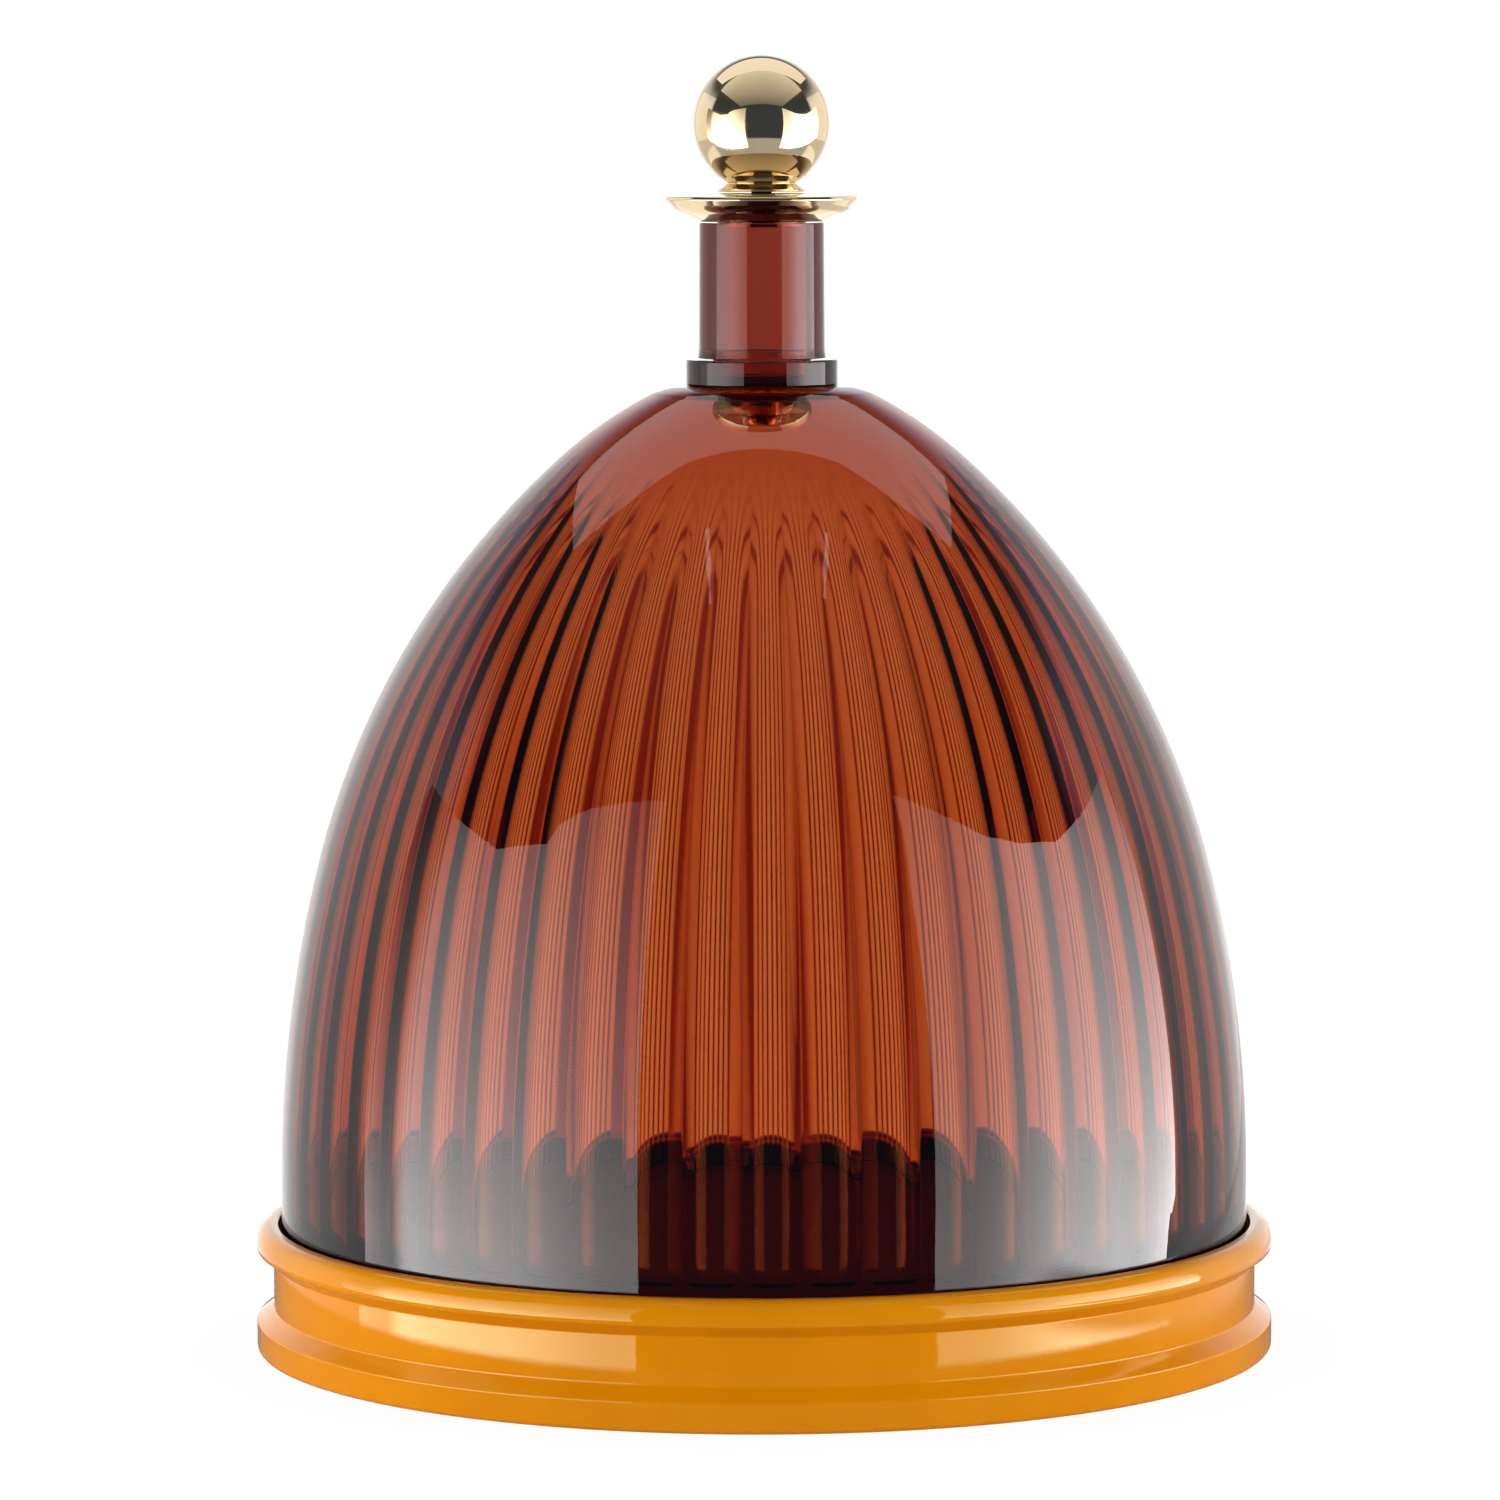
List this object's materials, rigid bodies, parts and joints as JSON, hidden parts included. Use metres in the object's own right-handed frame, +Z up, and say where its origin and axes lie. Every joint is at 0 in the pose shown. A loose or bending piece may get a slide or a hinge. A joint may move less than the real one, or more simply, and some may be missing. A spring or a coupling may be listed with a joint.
{
  "type": "serving cloche",
  "caption": "Clear amber bell cover, fluted inside, with a gold ball finial on a clear neck, seated in a round orange tray with a rolled rim.",
  "frame": {"origin": "centre of the tray's foot, on the surface that it stands on", "axes": "+Z up along the cloche's axis of turning; the object is round, so X and Y are free"},
  "size_m": [0.3, 0.3, 0.3796],
  "materials": {
    "tray": "glossy orange moulded plastic",
    "bell": "clear amber acrylic, polished, fluted inside",
    "collar": "clear amber acrylic, polished",
    "washer": "translucent silicone",
    "nut": "clear amber acrylic, polished",
    "neck": "clear amber acrylic, polished",
    "saucer": "polished pale gold plate",
    "knob": "polished pale gold plate",
    "stud": "plain steel"
  },
  "bodies": {
    "tray": {"base_tray": "tray"},
    "cover": {"dome_shell": "bell", "collar": "collar", "nut_washer": "washer", "retaining_nut": "nut", "neck_tube": "neck", "saucer": "saucer", "ball_knob": "knob", "knob_stud": "stud"}
  },
  "joints": [
    {"name": "dome_lift", "type": "slide", "parent": "tray", "child": "cover", "axis": [0, 0, 1], "range_m": [0, 0.3]}
  ]
}
